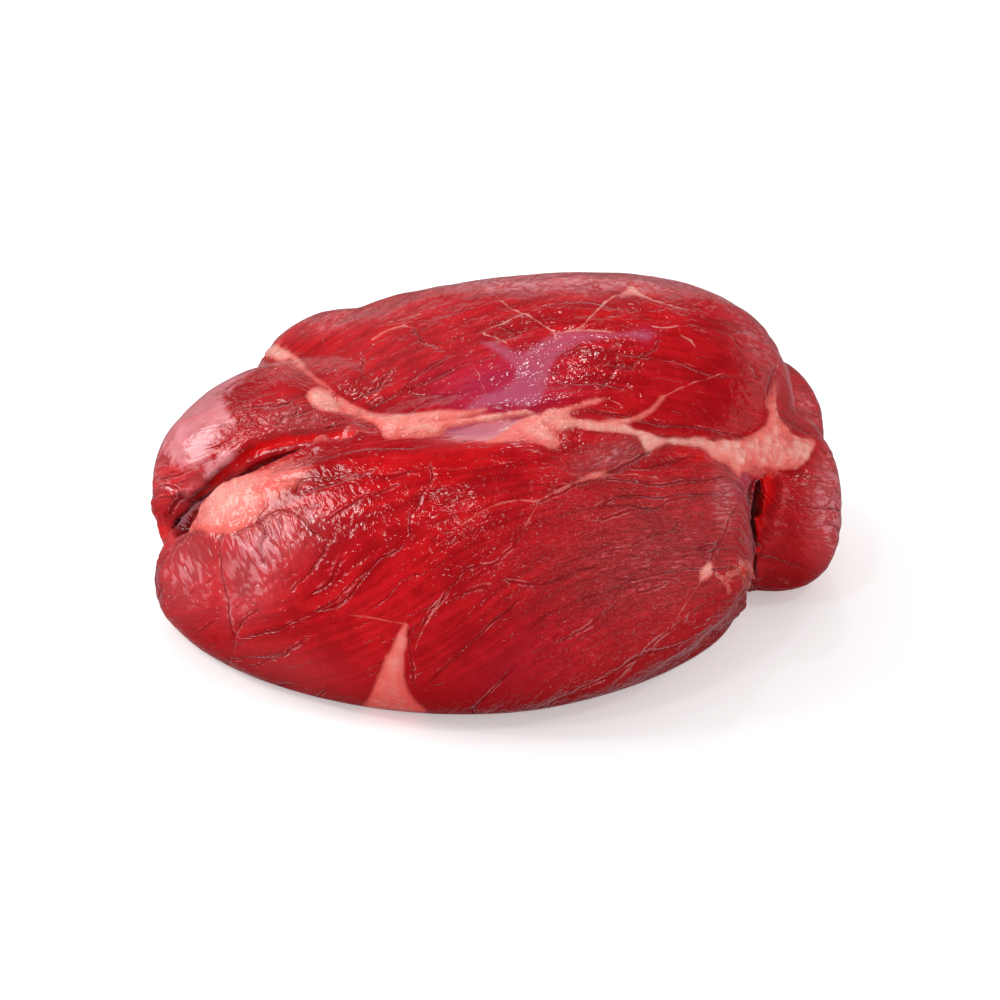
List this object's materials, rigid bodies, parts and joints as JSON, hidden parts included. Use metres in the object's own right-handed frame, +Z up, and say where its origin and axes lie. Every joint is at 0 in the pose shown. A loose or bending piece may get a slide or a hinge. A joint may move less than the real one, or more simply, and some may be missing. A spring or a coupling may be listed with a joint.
{
  "type": "raw beef round",
  "caption": "Raw beef round: a boneless roast of several muscles that lie against each other, with deep clefts at both ends and a seam across the top.",
  "frame": {"origin": "middle of the base, on the surface that the meat stands on", "axes": "+Z up, +X to the right as seen from the front, -Y out of the front"},
  "size_m": [0.2426, 0.1994, 0.1018],
  "materials": {
    "meat": "wet raw beef: deep red muscle with fine grain, cream-pink fat along the seams and a thin violet membrane on top"
  },
  "bodies": {
    "root": {"beef_round": "meat"}
  },
  "joints": []
}
